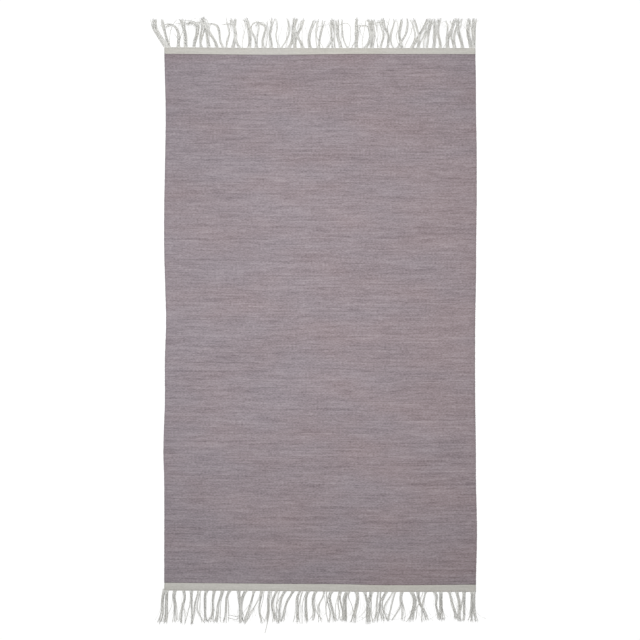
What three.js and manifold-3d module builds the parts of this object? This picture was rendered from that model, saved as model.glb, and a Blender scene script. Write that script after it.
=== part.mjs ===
// A flat-woven cotton rug lying on the floor: a lilac-grey field, a cream band across each end, and the
// rug's own warp ends left loose beyond each band as a fringe of gathered locks.
// Millimetres. The origin is the middle of the underside, +Y runs to the far end and +Z is up.

import * as THREE from 'three';
import { mergeVertices } from 'three/addons/utils/BufferGeometryUtils.js';
import Module from 'manifold-3d';

// Cloth
const CLOTH_THICKNESS = 3;
const PIECE_GAP = 0.3;
const SELVEDGE_STEPS = 40;
const END_STEPS = 16;

// The selvedges wander: place along the rug, and where its left and right edges lie there
const SELVEDGES = [
  { along: -582, left: -351.0, right: 349.9 },
  { along: -472, left: -350.8, right: 352.1 },
  { along: -364, left: -351.0, right: 349.7 },
  { along: -293, left: -352.9, right: 349.6 },
  { along: -185, left: -349.4, right: 348.1 },
  { along: -95, left: -349.6, right: 347.8 },
  { along: -5, left: -346.7, right: 348.1 },
  { along: 103, left: -349.7, right: 350.0 },
  { along: 175, left: -351.2, right: 350.3 },
  { along: 283, left: -350.5, right: 351.5 },
  { along: 390, left: -348.3, right: 351.2 },
  { along: 462, left: -347.7, right: 350.0 },
  { along: 534, left: -349.1, right: 349.6 },
  { along: 585, left: -350.6, right: 348.6 },
];

// The ends bow: place across the rug, and where each cream band starts (inner) and stops (outer) there
const ENDS = [
  { across: -350.5, farInner: 596.8, farOuter: 611.6, nearInner: -592.1, nearOuter: -609.6 },
  { across: -118, farInner: 594.6, farOuter: 609.8, nearInner: -594.4, nearOuter: -610.7 },
  { across: 40, farInner: 596.1, farOuter: 609.6, nearInner: -595.4, nearOuter: -612.2 },
  { across: 156, farInner: 596.2, farOuter: 609.6, nearInner: -597.8, nearOuter: -612.8 },
  { across: 349, farInner: 595.9, farOuter: 609.6, nearInner: -596.3, nearOuter: -612.8 },
];

// Fringe: each lock is one thick strand with a thinner one on each side, all rooted in the band
const FIRST_ROOT = -343;
const LAST_ROOT = 338;
const ROOT_DEPTH = 5;
const ROOT_LIFT = 0.4;
const STRAND_GAP = 0.5;
const ROW_DISTANCES = [0, 14, 28, 42, 56, 76, 98];
const SHORTEST_LAST_STEP = 4;
const CORNER_LOCK_FATTER = 1.35;
const LOCK_LENGTHS = [66, 63, 67, 61, 65, 68, 62];
const TIP_SPREADS = [3.6, 5.2, 4.2, 6.4, 4.8];
const ROOT_SPREAD = 2.8;
const STRANDS = [
  { rank: -1, width: 2, tipWidth: 1.2, height: 2.2, tipHeight: 1.3, flatTop: 0, shorter: 4 },
  { rank: 0, width: 2.8, tipWidth: 1.8, height: 2.4, tipHeight: 1.6, flatTop: 0.5, shorter: 0 },
  { rank: 1, width: 2, tipWidth: 1.2, height: 2.2, tipHeight: 1.3, flatTop: 0, shorter: 2 },
];

// Ways a lock lies: how far it has gone sideways a third and two thirds of the way out, and at its tip
const LAYS = {
  upright: { third: 0, twoThirds: 0, tip: 0 },
  leftish: { third: -2, twoThirds: -4, tip: -6 },
  left: { third: -4, twoThirds: -8, tip: -12 },
  sweptLeft: { third: -8, twoThirds: -16, tip: -24 },
  settledLeft: { third: -5, twoThirds: -7, tip: -6 },
  hookLeft: { third: 1, twoThirds: -1, tip: -10 },
  bowLeft: { third: -5, twoThirds: -6, tip: -2 },
  rightish: { third: 2, twoThirds: 4, tip: 5 },
  right: { third: 4, twoThirds: 9, tip: 13 },
  sweptRight: { third: 8, twoThirds: 20, tip: 33 },
  hookRight: { third: -1, twoThirds: 3, tip: 11 },
  snake: { third: -4, twoThirds: -3, tip: 4 },
  snakeBack: { third: 4, twoThirds: 3, tip: -3 },
};

// The two ends of the rug: which way is out, their edges, and the lays of their locks from the left
const FAR_END = {
  out: 1,
  inner: 'farInner',
  outer: 'farOuter',
  longer: 0,
  stray: null,
  lays: [
    'sweptLeft', 'hookLeft', 'leftish', 'hookLeft', 'hookLeft', 'hookLeft', 'sweptLeft', 'hookLeft',
    'upright', 'upright', 'left', 'hookLeft', 'hookLeft', 'hookRight', 'upright', 'right',
    'right', 'rightish', 'snake', 'snake', 'leftish', 'leftish', 'upright', 'leftish',
    'upright', 'snake', 'snake', 'snake', 'left', 'hookRight', 'hookRight', 'sweptRight',
    'right', 'right', 'upright', 'bowLeft', 'right', 'right', 'left', 'upright',
  ],
};
const NEAR_END = {
  out: -1,
  inner: 'nearInner',
  outer: 'nearOuter',
  longer: 4,
  stray: { lock: 13, rank: 1, longer: 24 },
  lays: [
    'left', 'rightish', 'left', 'upright', 'left', 'settledLeft', 'left', 'left',
    'bowLeft', 'right', 'left', 'left', 'left', 'upright', 'settledLeft', 'upright',
    'sweptLeft', 'settledLeft', 'settledLeft', 'settledLeft', 'left', 'right', 'right', 'upright',
    'snakeBack', 'leftish', 'upright', 'upright', 'snake', 'snake', 'left', 'rightish',
    'right', 'left', 'right', 'upright', 'right', 'rightish', 'upright', 'upright',
  ],
};

// Finishes
const LILAC_WEAVE = new THREE.MeshStandardMaterial({ color: 0x988e92, roughness: 0.95, metalness: 0 });
const CREAM_COTTON = new THREE.MeshStandardMaterial({ color: 0xc8c6c0, roughness: 0.95, metalness: 0 });

const wasm = await Module();
wasm.setup();

// A solid for joining, from a closed geometry
function toSolid(geometry) {
  geometry.deleteAttribute('normal');
  geometry.deleteAttribute('uv');
  const merged = mergeVertices(geometry);
  const mesh = new wasm.Mesh({
    numProp: 3,
    vertProperties: new Float32Array(merged.attributes.position.array),
    triVerts: new Uint32Array(merged.index.array),
  });
  return new wasm.Manifold(mesh);
}

// The geometry of a joined solid
function toGeometry(solid) {
  const mesh = solid.getMesh();
  const geometry = new THREE.BufferGeometry();
  geometry.setAttribute('position', new THREE.BufferAttribute(mesh.vertProperties, mesh.numProp));
  geometry.setIndex(new THREE.BufferAttribute(mesh.triVerts, 1));
  geometry.computeVertexNormals();
  return geometry;
}

// Points of a smooth line through a table's rows
function lineThrough(rows, toPoint, steps) {
  return new THREE.SplineCurve(rows.map(toPoint)).getPoints(steps);
}

// One edge of a band, from left to right, moved outwards by some way
function endLine(column, shift) {
  return lineThrough(ENDS, (row) => new THREE.Vector2(row.across, row[column] + shift), END_STEPS);
}

function selvedgeLine(side) {
  return lineThrough(SELVEDGES, (row) => new THREE.Vector2(row[side], row.along), SELVEDGE_STEPS);
}

// Cloth of this outline, lying on the floor
function clothSlab(outline) {
  const shape = new THREE.Shape(outline);
  return new THREE.ExtrudeGeometry(shape, { depth: CLOTH_THICKNESS, bevelEnabled: false });
}

function wovenField() {
  const outline = [
    ...selvedgeLine('left'),
    ...endLine('farInner', -PIECE_GAP / 2),
    ...selvedgeLine('right').reverse(),
    ...endLine('nearInner', PIECE_GAP / 2).reverse(),
  ];
  return clothSlab(outline);
}

function endBand(end) {
  const inner = endLine(end.inner, end.out * PIECE_GAP / 2);
  const outer = endLine(end.outer, 0);
  return clothSlab([...inner, ...outer.reverse()]);
}

// How far sideways a lock has gone at a share of its length
function sideways(layName, share) {
  const lay = LAYS[layName];
  const travel = [0, lay.third, lay.twoThirds, lay.tip];
  const line = new THREE.SplineCurve(travel.map((offset, step) => new THREE.Vector2(step, offset)));
  return line.getPoint(Math.min(share, 1)).y;
}

// The strands of one lock, each with its middle line at every row of the fringe
function lockStrands(end, lock) {
  const lastLock = end.lays.length - 1;
  const root = THREE.MathUtils.lerp(FIRST_ROOT, LAST_ROOT, lock / lastLock);
  const fatter = lock === 0 || lock === lastLock ? CORNER_LOCK_FATTER : 1;
  const length = LOCK_LENGTHS[lock % LOCK_LENGTHS.length] + end.longer;
  const tipSpread = TIP_SPREADS[lock % TIP_SPREADS.length] * fatter;
  return STRANDS.map((strand) => {
    const isStray = end.stray?.lock === lock && end.stray.rank === strand.rank;
    return {
      ...strand,
      width: strand.width * fatter,
      length: length - strand.shorter + (isStray ? end.stray.longer : 0),
      middles: ROW_DISTANCES.map((distance) => {
        const share = Math.min(distance / length, 1);
        const spread = THREE.MathUtils.lerp(ROOT_SPREAD * fatter, tipSpread, share);
        return root + sideways(end.lays[lock], share) + strand.rank * spread;
      }),
    };
  });
}

// Moves the strands of one row sideways, as little as it takes, until neighbours lie clear of each other
function layApart(strands, row) {
  let packed = 0;
  const groups = [];
  strands.forEach((strand, index) => {
    const before = strands[index - 1];
    packed += before ? (before.width + strand.width) / 2 + STRAND_GAP : 0;
    strand.packed = packed;
    groups.push({ members: [strand], place: strand.middles[row] - packed });
    while (groups.length > 1 && groups.at(-1).place < groups.at(-2).place) {
      const right = groups.pop();
      const left = groups.pop();
      const members = [...left.members, ...right.members];
      const weight = left.place * left.members.length + right.place * right.members.length;
      groups.push({ members, place: weight / members.length });
    }
  });
  for (const group of groups) {
    for (const strand of group.members) {
      strand.middles[row] = group.place + strand.packed;
    }
  }
}

// Where a strand's middle line lies at some distance from the band, between two rows
function middleAt(strand, distance) {
  const upper = Math.max(ROW_DISTANCES.findIndex((row) => row >= distance), 1);
  const lower = upper - 1;
  return THREE.MathUtils.mapLinear(
    distance, ROW_DISTANCES[lower], ROW_DISTANCES[upper], strand.middles[lower], strand.middles[upper],
  );
}

// A closed solid through rings with equal numbers of corners
function loft(rings, insideOut) {
  const corners = rings[0].length;
  const faces = [];
  for (let ring = 0; ring + 1 < rings.length; ring += 1) {
    for (let corner = 0; corner < corners; corner += 1) {
      const here = ring * corners + corner;
      const beside = ring * corners + (corner + 1) % corners;
      faces.push(here, here + corners, beside, beside, here + corners, beside + corners);
    }
  }
  const lastRing = (rings.length - 1) * corners;
  for (let corner = 1; corner + 1 < corners; corner += 1) {
    faces.push(0, corner, corner + 1);
    faces.push(lastRing, lastRing + corner + 1, lastRing + corner);
  }
  if (insideOut) {
    faces.reverse();
  }
  const geometry = new THREE.BufferGeometry();
  geometry.setAttribute('position', new THREE.Float32BufferAttribute(rings.flat(2), 3));
  geometry.setIndex(faces);
  return geometry;
}

// One strand, out of the band and down onto the floor: flat below, a ridge or a narrower flat on top
function strandSolid(end, strand) {
  const between = ROW_DISTANCES.filter((distance) => distance < strand.length - SHORTEST_LAST_STEP);
  const distances = [-ROOT_DEPTH, ...between, strand.length];
  const edge = new THREE.SplineCurve(ENDS.map((row) => new THREE.Vector2(row.across, row[end.outer])));
  const rootShare = (strand.middles[0] - ENDS[0].across) / (ENDS.at(-1).across - ENDS[0].across);
  const rootAlong = edge.getPoint(THREE.MathUtils.clamp(rootShare, 0, 1)).y;
  const rings = distances.map((distance) => {
    const share = Math.max(distance, 0) / strand.length;
    const middle = middleAt(strand, Math.max(distance, 0));
    const along = rootAlong + end.out * distance;
    const half = THREE.MathUtils.lerp(strand.width, strand.tipWidth, share) / 2;
    const top = THREE.MathUtils.lerp(strand.height, strand.tipHeight, share);
    const base = distance > 0 ? 0 : ROOT_LIFT;
    const ring = [[middle - half, along, base], [middle + half, along, base]];
    const halfTop = half * strand.flatTop;
    if (halfTop > 0) {
      ring.push([middle + halfTop, along, top], [middle - halfTop, along, top]);
    } else {
      ring.push([middle, along, top]);
    }
    return ring;
  });
  return toSolid(loft(rings, end.out < 0));
}

// A cream band with the roots of its fringe fused into it
function fringedBand(end) {
  const strands = end.lays.flatMap((lay, lock) => lockStrands(end, lock));
  ROW_DISTANCES.forEach((distance, row) => layApart(strands, row));
  const band = toSolid(endBand(end));
  return toGeometry(strands.reduce((whole, strand) => whole.add(strandSolid(end, strand)), band));
}

function piece(name, geometry, material) {
  const mesh = new THREE.Mesh(geometry, material);
  mesh.name = name;
  return mesh;
}

const rug = new THREE.Group();
rug.add(piece('woven_field', wovenField(), LILAC_WEAVE));
rug.add(piece('far_fringe', fringedBand(FAR_END), CREAM_COTTON));
rug.add(piece('near_fringe', fringedBand(NEAR_END), CREAM_COTTON));

export default rug;
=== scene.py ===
import math

import bpy
import numpy as np
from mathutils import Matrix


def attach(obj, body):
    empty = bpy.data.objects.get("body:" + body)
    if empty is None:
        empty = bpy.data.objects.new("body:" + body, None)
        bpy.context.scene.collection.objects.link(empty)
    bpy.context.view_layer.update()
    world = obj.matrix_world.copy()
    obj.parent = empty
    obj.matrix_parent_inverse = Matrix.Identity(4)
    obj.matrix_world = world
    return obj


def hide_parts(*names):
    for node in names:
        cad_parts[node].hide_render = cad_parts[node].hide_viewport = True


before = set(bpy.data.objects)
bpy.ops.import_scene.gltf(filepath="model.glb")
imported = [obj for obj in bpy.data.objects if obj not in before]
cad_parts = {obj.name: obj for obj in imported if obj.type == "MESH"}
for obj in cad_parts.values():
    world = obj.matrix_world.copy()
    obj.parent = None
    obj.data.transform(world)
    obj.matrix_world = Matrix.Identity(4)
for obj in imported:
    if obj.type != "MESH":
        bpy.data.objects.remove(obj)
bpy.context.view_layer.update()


# Woven field
# The body of the rug, flat-woven from soft lilac-grey melange cotton. Each weft is beaten down until it
# hides the warps, so the face is close rows of rice-shaped floats, and it turns back at the selvedges.

WARPS = 161
FIELD_ROWS = 590
PICKS_A_ROW = 2
THICKNESS = 0.003
FLOAT_RISE = 0.00015
FLOAT_DIP = 0.00035
FLOAT_UNEVEN = 0.00008
WARP_WANDER = 0.0005
WARP_WANDER_LENGTH = 0.23
WARP_PHASE_STEP = 0.618
WANDER_FADE = 0.2
PICK_WANDER = 0.00015
PICK_WANDER_REACH = 4
SWELL = 0.00018
SEAM_DIP = 0.0004
SEAM_FROM = 0.59

# The selvedge, where each row of picks turns back round the outer warp
SELVEDGE_TURN = 0.0016
SELVEDGE_LOOP = 0.0004
SELVEDGE_LOOP_IN = 0.4
SELVEDGE_LOOP_UNEVEN = 0.4
SELVEDGE_TUCK = 0.0009
SELVEDGE_MIDDLE = 0.0016

# What makes up each float's tone. The streaks reach over so many warps.
TONE_LONG = 1.00
LONG_REACH = 12
TONE_SHORT = 1.45
SHORT_REACH = 2
TONE_FLOAT = 1.00
TONE_CLOUD = 0.70
TONE_FLECK = 1.8
FLECK_SHARE = 0.006
# Painted shade that darkens the rows at each seam, where the cloth dips into a groove
SEAM_PAINTED_SHADE = -2.2

# Slow waves over the cloth, each with its length and its direction
TONE_WAVES = ((0.31, 0.3), (0.17, 1.2), (0.23, 2.1), (0.11, 2.7))
SWELL_WAVES = ((0.19, 0.9), (0.27, 1.7), (0.13, 2.6))
WAVE_SHIFT = 5

# Two dye lots, each with its deep and its pale, and how painted shade between the picks and under the
# warps, the fibres and the patches vary them
COOL_LILAC = ((0.195, 0.165, 0.184, 1), (0.456, 0.401, 0.433, 1))
ROSY_LILAC = ((0.206, 0.158, 0.168, 1), (0.469, 0.394, 0.416, 1))
TONE_CONTRAST = 0.06
MELANGE_CONTRAST = 0.72
UNDER_WARP = 0.4
PAINTED_PICK_SHADE = 0.35
PICK_MEAN = 0.45
FIBRE_SHADE = 0.24
LOT_CONTRAST = 2.6
LOT_DRIFT = 0.9
WEAVE_SHEEN = 0.08
WEAVE_RELIEF = 0.00022

# Turns a metre of each noise, across the rug, along it and up
WEFT_FIBRES = (500, 2600, 1200)
MELANGE = (230, 520, 0)
LOT_PATCHES = (5, 13, 5)

dice = np.random.default_rng(7)


def node_points(node):
    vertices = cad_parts[node].data.vertices
    points = np.empty(len(vertices) * 3, np.float32)
    vertices.foreach_get("co", points)
    return points.reshape(-1, 3).astype(float)


def edge_line(points, along, across):
    """An edge of the cloth as a function: its place across the rug at a place along that edge."""
    order = np.argsort(points[:, along])
    return lambda at: np.interp(at, points[order, along], points[order, across])


X, Y, Z = 0, 1, 2
field_points = node_points("woven_field")
selvedge_points = field_points[np.abs(field_points[:, Y]) < SEAM_FROM]
left_edge = edge_line(selvedge_points[selvedge_points[:, X] < 0], Y, X)
right_edge = edge_line(selvedge_points[selvedge_points[:, X] > 0], Y, X)
far_seam = edge_line(field_points[field_points[:, Y] > SEAM_FROM], X, Y)
near_seam = edge_line(field_points[field_points[:, Y] < -SEAM_FROM], X, Y)


def streaks(rows, columns, reach):
    """Chance values that change slowly along a row and afresh from row to row, with a spread of one."""
    offsets = np.arange(-3 * reach, 3 * reach + 1)
    kernel = np.exp(-np.abs(offsets) / reach)
    raw = dice.standard_normal((rows, columns + 6 * reach))
    smooth = np.array([np.convolve(row, kernel, "valid") for row in raw])
    return smooth / smooth.std()


def clouds(x, y, waves):
    """Soft patches: slow waves over the cloth in several directions."""
    total = np.zeros_like(x)
    for length, turn in waves:
        along = x * math.cos(turn) + y * math.sin(turn)
        total += np.sin(2 * math.pi * along / length + WAVE_SHIFT * turn)
    return total / len(waves)


def weave_tones(x, y):
    """How pale each float is: long and short dye streaks that follow its pick, plus its own chance."""
    tones = TONE_LONG * streaks(*x.shape, LONG_REACH) + TONE_SHORT * streaks(*x.shape, SHORT_REACH)
    tones += TONE_FLOAT * dice.standard_normal(x.shape)
    tones += TONE_CLOUD * clouds(x, y, TONE_WAVES)
    flecks = dice.random(x.shape) < FLECK_SHARE
    return tones + flecks * TONE_FLECK * dice.choice([-1, 1], x.shape)


def woven_panel(name, near_line, far_line, rows, first_row, end_rows):
    """A closed piece of the weave between two lines across the rug, with a point value weft_tone that also
    holds any painted shade given for its end rows.
    """
    share = np.linspace(0, 1, rows + 1)[:, None]
    across = np.linspace(0, 1, WARPS)[None, :]
    middle = near_line(0.0) * (1 - share) + far_line(0.0) * share
    left, right = left_edge(middle), right_edge(middle)
    x = left + SELVEDGE_TURN + (right - left - 2 * SELVEDGE_TURN) * across
    y = near_line(x) * (1 - share) + far_line(x) * share
    warp_phase = 2 * math.pi * np.modf(np.arange(WARPS) * WARP_PHASE_STEP)[0]
    inner = np.sin(math.pi * across) ** WANDER_FADE
    x = x + WARP_WANDER * inner * np.sin(2 * math.pi * y / WARP_WANDER_LENGTH + warp_phase)
    inside = np.ones((rows + 1, 1))
    inside[[0, -1]] = 0
    y = y + PICK_WANDER * inside * streaks(rows + 1, WARPS, PICK_WANDER_REACH)

    row_number = np.arange(rows + 1)[:, None] + first_row
    crest = (row_number + np.arange(WARPS)[None, :]) % 2 == 0
    z = THICKNESS + np.where(crest, FLOAT_RISE, -FLOAT_DIP)
    z = z + inside * FLOAT_UNEVEN * dice.standard_normal(z.shape)
    z = z + SWELL * clouds(x, y, SWELL_WAVES)
    tones = weave_tones(x, y)
    # The end rows sink, and take any painted shade given with them
    for row, drop, tone in end_rows:
        z[row] -= drop
        tones[row] += tone

    loop = SELVEDGE_LOOP * np.where(row_number % 2 == 0, 1, -SELVEDGE_LOOP_IN)
    loop = loop + inside * SELVEDGE_LOOP * SELVEDGE_LOOP_UNEVEN * dice.standard_normal(loop.shape)
    heights = np.full_like(left, SELVEDGE_MIDDLE)
    floor = np.zeros_like(left)
    flat = np.zeros_like(crest[:, :1])
    x = np.hstack([left + SELVEDGE_TUCK, left - loop, x, right + loop, right - SELVEDGE_TUCK])
    y = np.hstack([y[:, :1], y[:, :1], y, y[:, -1:], y[:, -1:]])
    z = np.hstack([floor, heights, z, heights, floor])
    crest = np.hstack([flat, ~crest[:, :1], crest, ~crest[:, -1:], flat])
    tones = np.hstack([tones[:, :1], tones[:, :1], tones, tones[:, -1:], tones[:, -1:]])
    return slab_object(name, x, y, z, crest, tones)


def slab_object(name, x, y, z, crest, tones):
    """Closes a grid of points over a flat underside, with creases only where the picks go under."""
    rows, columns = x.shape
    index = np.arange(rows * columns).reshape(rows, columns)
    a, b = index[:-1, :-1].ravel(), index[:-1, 1:].ravel()
    c, d = index[1:, 1:].ravel(), index[1:, :-1].ravel()
    high = crest.ravel()
    leans = high[a] | high[c]
    first = np.where(leans[:, None], np.stack([a, b, d], 1), np.stack([a, b, c], 1))
    second = np.where(leans[:, None], np.stack([c, d, b], 1), np.stack([a, c, d], 1))
    top = np.concatenate([first, second])

    points = np.stack([x, y, z], 2).reshape(-1, 3)
    above_feet = np.concatenate([index[0, 2:-2], index[-1, 2:-2]])
    feet = points[above_feet] * (1, 1, 0)
    near_feet, far_feet = (len(points) + np.arange(len(feet))).reshape(2, -1)
    near_feet = np.concatenate([index[0, [0, 0]], near_feet, index[0, [-1, -1]]])
    far_feet = np.concatenate([index[-1, [0, 0]], far_feet, index[-1, [-1, -1]]])
    walls = []
    for low, high_row, turned in ((near_feet, index[0], False), (far_feet, index[-1], True)):
        for column in range(columns - 1):
            face = [low[column], low[column + 1], high_row[column + 1], high_row[column]]
            face = list(dict.fromkeys(int(corner) for corner in face))
            if len(face) > 2:
                walls.append(face[::-1] if turned else face)
    outline = [*near_feet, *index[1:-1, -1], *far_feet[::-1], *index[1:-1, 0][::-1]]
    underside = list(dict.fromkeys(int(corner) for corner in outline))[::-1]

    mesh = bpy.data.meshes.new(name)
    mesh.from_pydata(np.concatenate([points, feet]).tolist(), [], top.tolist() + walls + [underside])
    values = np.concatenate([tones.ravel(), tones.ravel()[above_feet]]).astype(np.float32)
    mesh.attributes.new("weft_tone", "FLOAT", "POINT").data.foreach_set("value", values)
    warp, pick = np.meshgrid(np.arange(columns), PICKS_A_ROW * np.arange(rows))
    places = np.stack([warp.ravel(), pick.ravel()], 1)
    places = np.concatenate([places, places[above_feet]]).astype(np.float32)
    corners = np.empty(len(mesh.loops), np.int32)
    mesh.loops.foreach_get("vertex_index", corners)
    mesh.uv_layers.new(name="weave").data.foreach_set("uv", places[corners].ravel())
    mesh.shade_smooth()
    piece = bpy.data.objects.new(name, mesh)
    bpy.context.scene.collection.objects.link(piece)
    return piece


class Signal:
    """A shader output that can stand in a sum: each step on it becomes a Math node."""

    def __init__(self, matte, socket):
        self.matte = matte
        self.socket = socket

    def step(self, operation, *values):
        return self.matte.node("ShaderNodeMath", {"operation": operation}, dict(enumerate(values)))

    def __add__(self, other):
        return self.step("ADD", self, other)

    __radd__ = __add__

    def __mul__(self, other):
        return self.step("MULTIPLY", self, other)

    __rmul__ = __mul__

    def __sub__(self, other):
        return self.step("SUBTRACT", self, other)

    def __rsub__(self, other):
        return self.step("SUBTRACT", other, self)

    def cosine(self):
        return self.step("COSINE", self)

    def floored(self):
        return self.step("FLOOR", self)

    def clipped(self):
        return self.matte.node("ShaderNodeClamp", {}, {"Value": self})


class Matte:
    """A matte material: node() adds any node, and shader is its Principled shader."""

    def __init__(self, name):
        self.material = bpy.data.materials.new(name)
        self.material.use_nodes = True
        self.tree = self.material.node_tree
        self.shader = self.tree.nodes["Principled BSDF"]
        self.set(self.shader, {"Roughness": 0.95, "Specular IOR Level": 0.15, "Sheen Roughness": 0.6})

    def set(self, node, sockets):
        for key, value in sockets.items():
            if isinstance(value, Signal):
                self.tree.links.new(value.socket, node.inputs[key])
            else:
                node.inputs[key].default_value = value

    def node(self, kind, settings, sockets, output=0):
        made = self.tree.nodes.new(kind)
        for key, value in settings.items():
            setattr(made, key, value)
        self.set(made, sockets)
        return Signal(self, made.outputs[output])

    def place_on(self, uv_map):
        """The two numbers of the piece's own map."""
        place = self.node("ShaderNodeUVMap", {"uv_map": uv_map}, {})
        return [self.node("ShaderNodeSeparateXYZ", {}, {"Vector": place}, axis) for axis in "XY"]

    def attribute(self, name):
        return self.node("ShaderNodeAttribute", {"attribute_name": name}, {}, "Fac")

    def noise(self, stretch, detail):
        """Fine noise on the piece's own coordinates, at so many turns a metre along each axis."""
        place = self.node("ShaderNodeTexCoord", {}, {}, "Object")
        place = self.node("ShaderNodeMapping", {}, {"Vector": place, "Scale": stretch})
        return self.node("ShaderNodeTexNoise", {}, {"Vector": place, "Scale": 1.0, "Detail": detail})

    def across(self):
        """The place across the rug, in metres."""
        place = self.node("ShaderNodeTexCoord", {}, {}, "Object")
        return self.node("ShaderNodeSeparateXYZ", {}, {"Vector": place}, "X")

    def mix(self, share, first, second):
        return self.node("ShaderNodeMix", {"data_type": "RGBA"}, {0: share, 6: first, 7: second}, 2)

    def bump(self, height, depth):
        self.set(self.shader, {"Normal": self.node(
            "ShaderNodeBump", {}, {"Height": height, "Strength": 1.0, "Distance": depth})})


def weft_cotton(name, cool, warm):
    """Woven cotton: its picks vary from deep to pale, with painted shade between them and where they go
    under the warps, and from one dye lot to the other.
    """
    cloth = Matte(name)
    warp, pick = cloth.place_on("weave")
    number = pick.floored()
    round_pick = (math.pi * (pick - number - 0.5)).cosine()
    over_warp = 0.5 + 0.5 * (math.pi * (warp + number)).cosine()
    weft = round_pick * (UNDER_WARP + (1 - UNDER_WARP) * over_warp)
    fibre = cloth.noise(WEFT_FIBRES, 2.0)
    melange = cloth.noise(MELANGE, 0.0)
    share = 0.5 + TONE_CONTRAST * cloth.attribute("weft_tone") + MELANGE_CONTRAST * (melange - 0.5)
    # Painted shade: each pick is darker towards its sides and where it goes under a warp
    share = (share + PAINTED_PICK_SHADE * (weft - PICK_MEAN) + FIBRE_SHADE * (fibre - 0.5)).clipped()
    patch = cloth.noise(LOT_PATCHES, 2.0)
    lot = (0.5 + LOT_CONTRAST * (patch - 0.5) + LOT_DRIFT * cloth.across()).clipped()
    colour = cloth.mix(lot, cloth.mix(share, *cool), cloth.mix(share, *warm))
    cloth.set(cloth.shader, {"Base Color": colour, "Sheen Weight": WEAVE_SHEEN})
    cloth.bump(weft + fibre, WEAVE_RELIEF)
    return cloth.material


# The rows at each seam dip into a groove and are painted darker, as shade
SEAM_ROWS = [(0, SEAM_DIP, SEAM_PAINTED_SHADE), (-1, SEAM_DIP, SEAM_PAINTED_SHADE)]
field = woven_panel("field_weave", near_seam, far_seam, FIELD_ROWS, 0, SEAM_ROWS)
field.data.materials.append(weft_cotton("lilac_melange", COOL_LILAC, ROSY_LILAC))
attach(field, "root")
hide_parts("woven_field")


# End bands
# A few picks of undyed cream cotton close each end of the cloth, woven on from the lilac field on the same
# warps. Each band is one narrow strip that the fringe grows out of.

BAND_ROWS = 8
BAND_END_ROUND = 0.0011
BAND_PART = 0.603
BAND_TOP = 0.0029
GREY_CREAM = ((0.560, 0.544, 0.506, 1), (0.715, 0.700, 0.660, 1))
WARM_CREAM = ((0.560, 0.540, 0.488, 1), (0.715, 0.695, 0.640, 1))


def band_edge(node):
    points = node_points(node)
    on_edge = (np.abs(points[:, Y]) > BAND_PART) & (points[:, Z] > BAND_TOP)
    return edge_line(points[on_edge], X, Y)


cream_weave = weft_cotton("cream_weave", GREY_CREAM, WARM_CREAM)
far_edge = band_edge("far_fringe")
near_edge = band_edge("near_fringe")
BANDS = (
    ("far_band", "far_fringe", far_seam, far_edge, FIELD_ROWS, -1),
    ("near_band", "near_fringe", near_edge, near_seam, -BAND_ROWS, 0),
)
for name, node, near_line, far_line, first_row, outer_row in BANDS:
    band = woven_panel(name, near_line, far_line, BAND_ROWS, first_row, [(outer_row, BAND_END_ROUND, 0)])
    band.data.materials.append(cream_weave)
    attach(band, "root")
    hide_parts(node)


# Fringe, far and near
# The warps run on past each band as loose ends. They are gathered into locks that lie on the floor as they
# fell, each of a few strands of two-ply cotton yarns that keep together up to their cut and frayed tips.

ROOT_DRIFT = 0.0035
ROOT_UNEVEN = 0.0005
ROOT_DEPTH = 0.004
ROOT_HALF = 0.0050
CORNER_ROOT_HALF = 0.0066
ROOT_HEIGHT = 0.0014
YARN_RADIUS = 0.00105
YARN_FLATTER = 0.72
YARN_TURN = 0.015
YARN_RINGS = 43
YARN_SIDES = 6
LOOSE_PLIES = 4
PLY_RADIUS = 0.00032
PLY_LEVELS = (0.80, 1.02)
PLY_RINGS = 17
PLY_SIDES = 4
TIP_TAPER = 0.55
FRAYS = 3
FRAY_RADIUS = 0.00014
FRAY_LENGTH = 0.0042
FRAY_SHARES = (0.5, 1.3)
FRAY_DEPTH = 0.001
FRAY_TURN = 0.35
FRAY_BEND = 0.3
FRAY_RINGS = 4
FRAY_SIDES = 3

# How the yarns of a lock gather into bunches, between these shares of their length
GATHERING = (0.03, 0.16)
BUNCH = 0.00100
BUNCH_GROWTH = 0.7
BUNCH_SPREAD = 0.6

# How far yarns and loose plies stray from the way of their strand: turns in radians, the rest in shares
HOOK_REACH = 1.20
LOCK_UNEVEN = 0.02
YARN_UNEVEN = 0.025
STRAND_SWAY = 0.02
YARN_SWAY = 0.025
YARN_SPLAY = 0.02
YARN_WAVE = 0.06
YARN_WAVES = 1.6
TIP_SWAY = 0.16
TIP_FROM = 0.75
PLY_SWAY = 0.22
PLY_TIP_SWAY = 0.6

# Undyed yarn, deep, pale and in warmer patches, and how painted shade where its plies meet and its fibres
# vary it
YARN_DEEP = (0.770, 0.767, 0.736, 1)
YARN_PALE = (0.890, 0.887, 0.860, 1)
YARN_WARM = (0.838, 0.822, 0.764, 1)
PLIES_A_YARN = 2
YARN_TONE = 0.16
PAINTED_PLY_SHADE = 0.12
YARN_FIBRE_SHADE = 0.3
WARM_FROM = 0.45
WARM_CONTRAST = 2.0
WARM_MOST = 0.6
PLY_RELIEF = 0.6
YARN_RELIEF = 0.00015
YARN_SHEEN = 0.08
YARN_FIBRES = (1500, 1500, 1500)
WARM_PATCHES = (40, 40, 40)

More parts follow.
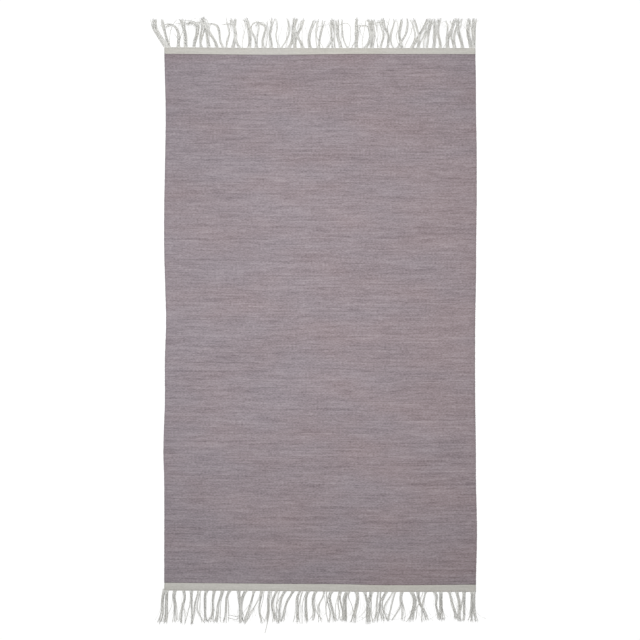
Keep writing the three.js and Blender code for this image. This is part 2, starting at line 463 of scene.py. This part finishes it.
# The locks from left to right. A strand is written as the way that it goes in each quarter of its length
# and then its number of yarns. L and l are left, i is straight out, r and R are right, < and > curl over.
WAYS = {"L": -32, "l": -14, "i": 0, "r": 14, "R": 32, "<": -105, ">": 105}
UNCURLED = str.maketrans("<>", "lr")
FAR_LOCKS = """
    LLLi13+llll5+iirR1  iiL<6+irR<1  iill6+iili2  rri<6+lRr<2  liri4+irrL3
    lil<5+liil1  lLLl6  Lil<5+rrll2+irri1  rrl<3+rrlL4  Llii5+irrl1
    rill6+rii>2  ilLl4+iirl2  lrr<5+riii1  ilrr5+lrrl1  llrl2+RRil3
    Rrir7+iiri1  irRr5+iirr1  lLli5+liir1  lirR6  liir2+irrr4
    RRll4+LLri1  liii3+iiii3  llii6  Llii3+rii<1+RRli2  iiii7
    Rrli5+Rrl<2+liri1  iiii6+riil2+iii>1  rrll4+lrll1+llri1  riLl5+lrlr1  Lirr3+RRri5
    llrr5+Llrl1+rRrr1  RRRR7+Rrll2  rill4+rRri2  rirr4+lrrr2  riir6
    ilir6+RRrl1  iiRr5+iirl2  lirR4+llri3  llli6+Llrr1  llii8+iiii9+iill2
""".split()
NEAR_LOCKS = """
    liil6+iiil3+iiii6  lrii6  rlli4+rlll1+ilri1  iiii4+iill1  llil3+llrR2+iiir1
    liii5+liir1  liii4+liiL2  llil5+llii1  Liil4+Liii1  irii4+iri<2
    Llii6+Llir1  llll4+ilLl1  llir3+lLLL2+illR1  liil5+irri1  Llrr5+llri1
    Llii4+LLii1  LLll5  Liii5+llii2  Liii5+Llii1  Lirl5+LirR1
    lLir3+irrl2  Llir2+Lrrr4  lrri3+liri2+llii1  Liii9+lRrr2  rlll4+rili3
    rrii5  llii6+liir2  liil3+iill3  LLrr3+LlrR2  llll3+LLlr2
    lrii3+lrLL2+lrri1  Rill8  irRr5+ilrl1  llii3+LlLi1  Rlrr5
    iiii7+iirr1  rrrR4+Rrri2  rrii5  iiii4+illi2  iiil5+iiir5+illr2
""".split()


def eased(share, start, stop):
    ramp = np.clip((share - start) / (stop - start), 0, 1)
    return ramp * ramp * (3 - 2 * ramp)


def laid_line(ways, root, out, level, sway, offset):
    """A yarn's line over the floor. It is cut at the level, unless it curls over and ends short of it."""
    share = np.linspace(0, 1, len(sway))
    turns = [math.radians(WAYS[way]) for way in ways]
    lean = np.interp(share, [1 / 8, 3 / 8, 5 / 8, 7 / 8], turns) + sway
    sideways = np.concatenate([[0], np.cumsum(np.sin(lean[1:]))]) / (len(sway) - 1)
    outwards = np.concatenate([[0], np.cumsum(np.cos(lean[1:]))]) / (len(sway) - 1)
    curled = ways[-1] in "<>"
    length = level * (HOOK_REACH if curled else 1 / outwards[-1])
    x = root[0] + length * sideways + offset
    y = root[1] + out * length * outwards
    return np.stack([x, y, np.full_like(x, ROOT_HEIGHT)], 1)


def lock_lines(chart, root, out, level, root_half):
    """One lock's lines: its yarns, every other one of a strand first, and plies that came loose."""
    strands = [(strand[:4], int(strand[4:])) for strand in chart.split("+")]
    strands.sort(key=lambda strand: sum(WAYS[way] for way in strand[0]))
    total = sum(count for _, count in strands)
    share = np.linspace(0, 1, YARN_RINGS)
    gather = eased(share, *GATHERING)
    bunch_spread = BUNCH_SPREAD * root_half
    yarns, plies = [], []
    before = 0
    for ways, count in strands:
        bunch_half = BUNCH * (count - 1) ** BUNCH_GROWTH
        bunch_middle = bunch_spread * ((2 * before + count) / total - 1)
        strand_sway = dice.normal(0, STRAND_SWAY)
        for place in [*range(0, count, 2), *range(1, count, 2)]:
            rank = 2 * (place + 0.5) / count - 1
            root_rank = 2 * (before + place + 0.5) / total - 1
            sway = strand_sway + dice.normal(0, YARN_SWAY) * share + YARN_SPLAY * rank * share
            sway = sway + YARN_WAVE * np.sin(2 * math.pi * (YARN_WAVES * share + dice.random())) * share
            sway = sway + dice.normal(0, TIP_SWAY) * eased(share, TIP_FROM, 1.0)
            offset = root_half * root_rank * (1 - gather) + (bunch_middle + bunch_half * rank) * gather
            own_level = level * dice.normal(1, YARN_UNEVEN)
            yarns.append(laid_line(ways, root, out, own_level, sway, offset))
        before += count
    thin = np.linspace(0, 1, PLY_RINGS)
    for _ in range(LOOSE_PLIES):
        ways = strands[dice.integers(len(strands))][0].translate(UNCURLED)
        sway = dice.normal(0, PLY_SWAY) * eased(thin, 0.1, 0.5)
        sway = sway + dice.normal(0, PLY_TIP_SWAY) * eased(thin, 0.5, 1.0)
        offset = root_half * dice.uniform(-1, 1) * np.ones(PLY_RINGS)
        own_level = level * dice.uniform(*PLY_LEVELS)
        plies.append(laid_line(ways, root, out, own_level, sway, offset))
    return yarns, plies


class Pile:
    """The height of what already lies on the floor beside one end of the rug."""

    CELL = 0.0006
    LEFT = -0.45
    WIDTH = 0.90
    DEPTH = 0.20
    HIGHEST = 0.007
    STEPS_A_RING = 6
    FOOTPRINT = 0.7
    ROOF = 0.6
    SETTLING = (0.05, 0.16)

    def __init__(self, near):
        self.near = near
        self.heights = np.zeros((int(self.DEPTH / self.CELL), int(self.WIDTH / self.CELL)))

    def lay(self, line, radius):
        """Sets a line's heights so that its yarn rests on the pile, and adds the yarn to the pile."""
        rings = len(line)
        fine = np.linspace(0, rings - 1, self.STEPS_A_RING * rings)
        column = np.interp(fine, np.arange(rings), (line[:, X] - self.LEFT) / self.CELL).astype(int)
        row = np.interp(fine, np.arange(rings), (line[:, Y] - self.near) / self.CELL).astype(int)
        cells = int(radius / self.CELL) + 1
        reach = range(-cells, cells + 1)
        spots = [(across, along) for across in reach for along in reach
                 if math.hypot(across, along) * self.CELL <= self.FOOTPRINT * radius]
        under = np.max([self.heights[row + along, column + across] for across, along in spots], axis=0)
        rest = np.pad(under.reshape(rings, self.STEPS_A_RING).max(axis=1), 2, mode="edge")
        rest = np.max([rest[shift:shift + rings] for shift in range(1, 4)], axis=0)
        rest = np.convolve(np.pad(rest, 1, mode="edge"), [0.25, 0.5, 0.25], "valid")
        loose = eased(np.linspace(0, 1, rings), *self.SETTLING)
        line[:, Z] = line[:, Z] * (1 - loose) + np.minimum(rest + radius, self.HIGHEST) * loose
        top = np.interp(fine, np.arange(rings), line[:, Z] + self.ROOF * radius)
        for across, along in spots:
            np.maximum.at(self.heights, (row + along, column + across), top)


def frayed_ends(lines):
    """Short fibres that stand out of the yarns' cut tips."""
    frays = []
    share = np.linspace(0, 1, FRAY_RINGS)[:, None]
    for line in lines:
        ahead = line[-1] - line[-2]
        ahead = ahead * (1, 1, 0) / np.linalg.norm(ahead)
        side = np.array([-ahead[1], ahead[0], 0])
        for _ in range(FRAYS):
            turn = dice.normal(0, FRAY_TURN)
            way = ahead * math.cos(turn) + side * math.sin(turn)
            bend = side * dice.normal(0, FRAY_BEND)
            length = FRAY_LENGTH * dice.uniform(*FRAY_SHARES)
            frays.append(line[-1] - FRAY_DEPTH * ahead + length * (share * way + share ** 2 * bend))
    return frays


def tube_parts(lines, radius, flatter, turn, sides):
    """Twisted tubes along lines with equal numbers of points: points, faces, and face corners' places."""
    lines = np.array(lines)
    count, rings, _ = lines.shape
    along = np.gradient(lines, axis=1)
    along /= np.linalg.norm(along, axis=2, keepdims=True)
    side = np.cross(along, (0.0, 0.0, 1.0))
    side /= np.linalg.norm(side, axis=2, keepdims=True)
    up = np.cross(side, along)
    steps = np.linalg.norm(np.diff(lines, axis=1), axis=2)
    run = np.concatenate([np.zeros((count, 1)), np.cumsum(steps, axis=1)], axis=1)
    twist = 2 * math.pi * (run / turn + dice.random((count, 1)))
    corner = 2 * math.pi * np.arange(sides) / sides
    wide = radius * np.cos(corner)
    tall = radius * flatter * np.sin(corner)
    taper = np.ones(rings)
    taper[-1] = TIP_TAPER
    taper = taper[None, :, None]
    across = taper * (wide * np.cos(twist)[..., None] - tall * np.sin(twist)[..., None])
    above = taper * (wide * np.sin(twist)[..., None] + tall * np.cos(twist)[..., None])
    points = lines[:, :, None] + across[..., None] * side[:, :, None] + above[..., None] * up[:, :, None]

    index = np.arange(count * rings * sides).reshape(count, rings, sides)
    beside = np.roll(index, -1, axis=2)
    walls = np.stack([index[:, :-1], index[:, 1:], beside[:, 1:], beside[:, :-1]], -1).reshape(-1, 4)
    caps = np.concatenate([index[:, 0], index[:, -1, ::-1]])
    here = np.broadcast_to(np.arange(sides) / sides, (count, rings - 1, sides))
    there = here + 1 / sides
    low = np.broadcast_to(run[:, :-1, None], here.shape)
    high = np.broadcast_to(run[:, 1:, None], here.shape)
    places = np.stack([here, low, here, high, there, high, there, low], -1).reshape(-1, 2)
    tones = dice.standard_normal(count)
    face_tones = np.concatenate([np.repeat(tones, (rings - 1) * sides), tones, tones])
    return points.reshape(-1, 3), walls, caps, places, face_tones


def fringe_object(name, sets):
    """One mesh of all the tubes of an end, with the face value yarn_tone and the map yarn."""
    points, faces, places, tones = [], [], [], []
    start = 0
    for own_points, walls, caps, own_places, own_tones in sets:
        points.append(own_points)
        faces += (walls + start).tolist() + (caps + start).tolist()
        places += [own_places, np.zeros((caps.size, 2))]
        tones.append(own_tones)
        start += len(own_points)
    mesh = bpy.data.meshes.new(name)
    mesh.from_pydata(np.concatenate(points).tolist(), [], faces)
    yarn_map = mesh.uv_layers.new(name="yarn")
    yarn_map.data.foreach_set("uv", np.concatenate(places).astype(np.float32).ravel())
    values = np.concatenate(tones).astype(np.float32)
    mesh.attributes.new("yarn_tone", "FLOAT", "FACE").data.foreach_set("value", values)
    mesh.shade_smooth()
    piece = bpy.data.objects.new(name, mesh)
    bpy.context.scene.collection.objects.link(piece)
    return piece


def yarn_cotton(name):
    """Two-ply cotton yarn: its own tone, with painted shade where the plies meet, and loose fibres."""
    cloth = Matte(name)
    around, _ = cloth.place_on("yarn")
    ply = (2 * math.pi * PLIES_A_YARN * around).cosine()
    fibre = cloth.noise(YARN_FIBRES, 2.0)
    # Painted shade in the groove where the two plies meet
    share = 0.5 + YARN_TONE * cloth.attribute("yarn_tone") + PAINTED_PLY_SHADE * ply
    share = (share + YARN_FIBRE_SHADE * (fibre - 0.5)).clipped()
    patch = cloth.noise(WARM_PATCHES, 1.0)
    warmth = WARM_MOST * (WARM_CONTRAST * (patch - WARM_FROM)).clipped()
    colour = cloth.mix(warmth, cloth.mix(share, YARN_DEEP, YARN_PALE), YARN_WARM)
    cloth.set(cloth.shader, {"Base Color": colour, "Sheen Weight": YARN_SHEEN})
    cloth.bump(PLY_RELIEF * ply + fibre, YARN_RELIEF)
    return cloth.material


cream_yarn = yarn_cotton("cream_yarn")

# Across the rug: the left corner lock, the first and last of the evenly spaced ones, the right corner lock
FAR_ROOTS = (-0.342, -0.320, 0.321, 0.342)
NEAR_ROOTS = (-0.347, -0.326, 0.323, 0.343)
ENDS = (
    ("far_fringe_yarns", "far_fringe", far_edge, 1, FAR_LOCKS, FAR_ROOTS, (0.063, 0.063)),
    ("near_fringe_yarns", "near_fringe", near_edge, -1, NEAR_LOCKS, NEAR_ROOTS, (0.070, 0.063)),
)
# One yarn of the near fringe reaches out past its lock
STRAY_LOCK = 13
STRAY_LEVEL = 0.098
STRAY_WAYS = "liil"
for name, node, edge, out, locks, roots, levels in ENDS:
    pile = Pile(min(out * BAND_PART, out * (BAND_PART + Pile.DEPTH)))
    yarns, plies = [], []
    last = len(locks) - 1
    for lock, chart in enumerate(locks):
        root_half = CORNER_ROOT_HALF if lock in (0, last) else ROOT_HALF
        root_x = np.interp(lock, [0, 1, last - 1, last], roots)
        root_x += ROOT_DRIFT * math.sin(math.pi * lock / last)
        root_x += dice.normal(0, ROOT_UNEVEN)
        root = (root_x, float(edge(root_x)) - out * ROOT_DEPTH)
        lock_level = ROOT_DEPTH + np.interp(lock, [0, last], levels) * dice.normal(1, LOCK_UNEVEN)
        own_yarns, own_plies = lock_lines(chart, root, out, lock_level, root_half)
        yarns += own_yarns
        plies += own_plies
        if out < 0 and lock == STRAY_LOCK:
            yarns.append(laid_line(STRAY_WAYS, root, out, STRAY_LEVEL, np.zeros(YARN_RINGS), 0))
    for line in yarns:
        pile.lay(line, YARN_RADIUS)
    for line in plies:
        pile.lay(line, PLY_RADIUS)
    fringe = fringe_object(name, [
        tube_parts(yarns, YARN_RADIUS, YARN_FLATTER, YARN_TURN, YARN_SIDES),
        tube_parts(plies, PLY_RADIUS, YARN_FLATTER, YARN_TURN, PLY_SIDES),
        tube_parts(frayed_ends(yarns), FRAY_RADIUS, 1.0, YARN_TURN, FRAY_SIDES),
    ])
    fringe.data.materials.append(cream_yarn)
    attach(fringe, "root")
    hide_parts(node)


# Floor
# A plain white board under the rug, which glows so that it shows pure white, as in the photo.
# It isn't part of the rug.

FLOOR_SIZE = 60
FLOOR_DROP = 0.0004
FLOOR_GLOW = 0.86
FLOOR_GREY = (0.25, 0.25, 0.25, 1)
FLOOR_LIGHT = (1, 1, 1, 1)

bpy.ops.object.select_all(action="DESELECT")
bpy.ops.mesh.primitive_plane_add(size=FLOOR_SIZE, location=(0, 0, -FLOOR_DROP))
floor = bpy.context.object
floor.name = "floor"
bpy.ops.object.transform_apply(location=True)
board = Matte("white_board")
board.set(board.shader, {
    "Base Color": FLOOR_GREY,
    "Emission Color": FLOOR_LIGHT,
    "Emission Strength": FLOOR_GLOW,
})
floor.data.materials.append(board.material)


# Light
# One broad soft lamp over the rug, a little to its far end and its left, with even white light from
# all around.

LAMP_PLACE = (-0.07, 0.19, 0.75)
LAMP_WIDTH = 1.3
LAMP_LENGTH = 1.55
LAMP_WATTS = 7.85
ROOM_LIGHT = 0.424

lamp = bpy.data.lights.new("soft_lamp", "AREA")
lamp.shape = "RECTANGLE"
lamp.size = LAMP_WIDTH
lamp.size_y = LAMP_LENGTH
lamp.energy = LAMP_WATTS
lamp_object = bpy.data.objects.new("soft_lamp", lamp)
lamp_object.location = LAMP_PLACE
lamp_object.visible_camera = False
bpy.context.scene.collection.objects.link(lamp_object)
room = bpy.data.worlds.new("room")
room.use_nodes = True
room.node_tree.nodes["Background"].inputs["Color"].default_value = (1, 1, 1, 1)
room.node_tree.nodes["Background"].inputs["Strength"].default_value = ROOM_LIGHT
bpy.context.scene.world = room
bpy.context.scene.view_settings.view_transform = "Standard"


# Camera
# Straight above the rug with its far end at the top, through a long lens.

VIEW_WIDTH = 1.438
VIEW_MIDDLE = (-0.0008, -0.0016)
LENS = 85
SENSOR = 36

camera = bpy.data.cameras.new("camera")
camera.lens = LENS
camera.sensor_width = SENSOR
camera_object = bpy.data.objects.new("camera", camera)
camera_object.location = (*VIEW_MIDDLE, VIEW_WIDTH * LENS / SENSOR + THICKNESS)
bpy.context.scene.collection.objects.link(camera_object)
bpy.context.scene.camera = camera_object
